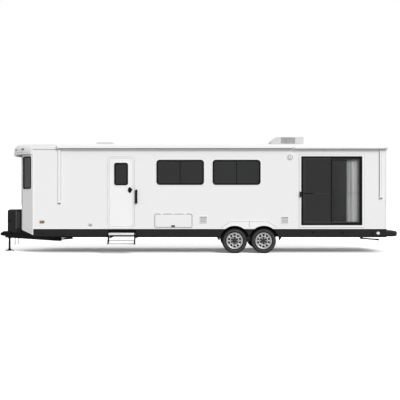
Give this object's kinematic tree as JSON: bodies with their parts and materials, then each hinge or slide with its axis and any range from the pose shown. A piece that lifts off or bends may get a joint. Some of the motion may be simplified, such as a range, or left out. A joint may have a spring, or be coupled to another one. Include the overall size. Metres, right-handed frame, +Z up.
{
  "type": "travel caravan",
  "caption": "Long two-axle travel caravan: white panelled cabin with a bay front, sliding patio doors, entry door and folding stands, towed by an A-frame and parked on its jack.",
  "frame": {"origin": "centre of the coupler's ball socket, with the ground 0.485 m below it", "axes": "+X rearwards along the caravan, +Y to the off side, +Z up"},
  "size_m": [11.568, 2.834, 3.363],
  "materials": {
    "shell_white": "gloss gelcoat",
    "roof_white": "matte membrane",
    "trim_white": "satin moulding",
    "skirt_grey": "satin dark grey",
    "chassis_black": "satin black",
    "floor_board": "sealed board",
    "frame_black": "satin black",
    "tinted_glass": "dark tint",
    "patio_glass": "dark tint",
    "curtain_cloth": "pleated cloth",
    "lens_red": "clear lens",
    "lens_amber": "clear lens",
    "lens_white": "clear lens",
    "fitting_grey": "moulded",
    "awning_white": "powder coat",
    "gas_cover_grey": "moulded grain",
    "jack_black": "satin black",
    "zinc_steel": "zinc plate",
    "spring_steel": "dull black",
    "tread_aluminium": "brushed",
    "wheel_silver": "silver paint",
    "tyre_rubber": "rubber",
    "well_black": "matte black"
  },
  "bodies": {
    "caravan": {"main_rails": "chassis_black", "cross_members": "chassis_black", "a_frame": "chassis_black", "coupler": "chassis_black", "safety_chains": "zinc_steel", "gas_bottle_cover": "gas_cover_grey", "jack_housing": "jack_black", "floor": "floor_board", "door_side_wall": "shell_white", "off_side_wall": "shell_white", "front_wall": "shell_white", "rear_wall": "shell_white", "roof": "roof_white", "front_brow": "shell_white", "window_frames": "frame_black", "window_glass": "tinted_glass", "red_lamps": "lens_red", "amber_lamps": "lens_amber", "white_lamps": "lens_white", "door_frames": "trim_white", "grab_handles": "frame_black", "patio_frame": "frame_black", "patio_fixed_glass": "patio_glass", "patio_curtain": "curtain_cloth", "side_skirts": "skirt_grey", "fender_panels": "trim_white", "wheel_wells": "well_black", "rear_bumper": "skirt_grey", "awning_roller": "awning_white", "awning_arms": "awning_white", "roof_air_conditioner": "trim_white", "air_conditioner_grilles": "fitting_grey", "roof_vent_base": "trim_white", "wall_fittings": "fitting_grey", "axles": "chassis_black", "leaf_springs": "spring_steel", "under_brackets": "chassis_black"},
    "entry_door": {"entry_door": "trim_white", "entry_door_glass": "tinted_glass", "entry_door_latch": "frame_black"},
    "baggage_door": {"baggage_door": "trim_white"},
    "patio_slider": {"patio_slider": "frame_black", "patio_slider_glass": "patio_glass"},
    "roof_vent_lid": {"roof_vent_lid": "trim_white"},
    "jack_leg": {"jack_leg": "jack_black"},
    "entry_step": {"entry_step_frame": "chassis_black", "entry_step_treads": "tread_aluminium"},
    "stabiliser_front_door": {"stabiliser_front_door": "chassis_black"},
    "wheel_front_door": {"tyre_front_door": "tyre_rubber", "rim_front_door": "wheel_silver"},
    "stabiliser_rear_door": {"stabiliser_rear_door": "chassis_black"},
    "wheel_rear_door": {"tyre_rear_door": "tyre_rubber", "rim_rear_door": "wheel_silver"},
    "stabiliser_front_off": {"stabiliser_front_off": "chassis_black"},
    "wheel_front_off": {"tyre_front_off": "tyre_rubber", "rim_front_off": "wheel_silver"},
    "stabiliser_rear_off": {"stabiliser_rear_off": "chassis_black"},
    "wheel_rear_off": {"tyre_rear_off": "tyre_rubber", "rim_rear_off": "wheel_silver"}
  },
  "joints": [
    {"name": "entry_door_swing", "type": "hinge", "parent": "caravan", "child": "entry_door", "pos_m": [3.345, -1.242, 1.24], "axis": [0, 0, -1], "range_deg": [0, 165]},
    {"name": "baggage_door_lift", "type": "hinge", "parent": "caravan", "child": "baggage_door", "pos_m": [5.1635, -1.229, 0.635], "axis": [-1, 0, 0], "range_deg": [0, 150]},
    {"name": "patio_slide", "type": "slide", "parent": "caravan", "child": "patio_slider", "axis": [1, 0, 0], "range_m": [0, 0.79]},
    {"name": "roof_vent_lift", "type": "hinge", "parent": "caravan", "child": "roof_vent_lid", "pos_m": [3.356, 0, 2.675], "axis": [0, 1, 0], "range_deg": [0, 70]},
    {"name": "jack_lift", "type": "slide", "parent": "caravan", "child": "jack_leg", "axis": [0, 0, 1], "range_m": [0, 0.28]},
    {"name": "entry_step_slide", "type": "slide", "parent": "caravan", "child": "entry_step", "axis": [0, 1, 0], "range_m": [0, 0.31]},
    {"name": "stabiliser_front_door_drop", "type": "hinge", "parent": "caravan", "child": "stabiliser_front_door", "pos_m": [2.23, -0.892, -0.075], "axis": [0, -1, 0], "range_deg": [0, 45]},
    {"name": "stabiliser_rear_door_drop", "type": "hinge", "parent": "caravan", "child": "stabiliser_rear_door", "pos_m": [10.54, -0.892, -0.075], "axis": [0, 1, 0], "range_deg": [0, 45]},
    {"name": "stabiliser_front_off_drop", "type": "hinge", "parent": "caravan", "child": "stabiliser_front_off", "pos_m": [2.23, 0.892, -0.075], "axis": [0, -1, 0], "range_deg": [0, 45]},
    {"name": "stabiliser_rear_off_drop", "type": "hinge", "parent": "caravan", "child": "stabiliser_rear_off", "pos_m": [10.54, 0.892, -0.075], "axis": [0, 1, 0], "range_deg": [0, 45]},
    {"name": "wheel_front_door_spin", "type": "hinge", "parent": "caravan", "child": "wheel_front_door", "pos_m": [6.894, -1.096, -0.13], "axis": [0, 1, 0], "continuous": true},
    {"name": "wheel_rear_door_spin", "type": "hinge", "parent": "caravan", "child": "wheel_rear_door", "pos_m": [7.714, -1.096, -0.13], "axis": [0, 1, 0], "continuous": true},
    {"name": "wheel_front_off_spin", "type": "hinge", "parent": "caravan", "child": "wheel_front_off", "pos_m": [6.894, 1.096, -0.13], "axis": [0, 1, 0], "continuous": true},
    {"name": "wheel_rear_off_spin", "type": "hinge", "parent": "caravan", "child": "wheel_rear_off", "pos_m": [7.714, 1.096, -0.13], "axis": [0, 1, 0], "continuous": true}
  ]
}
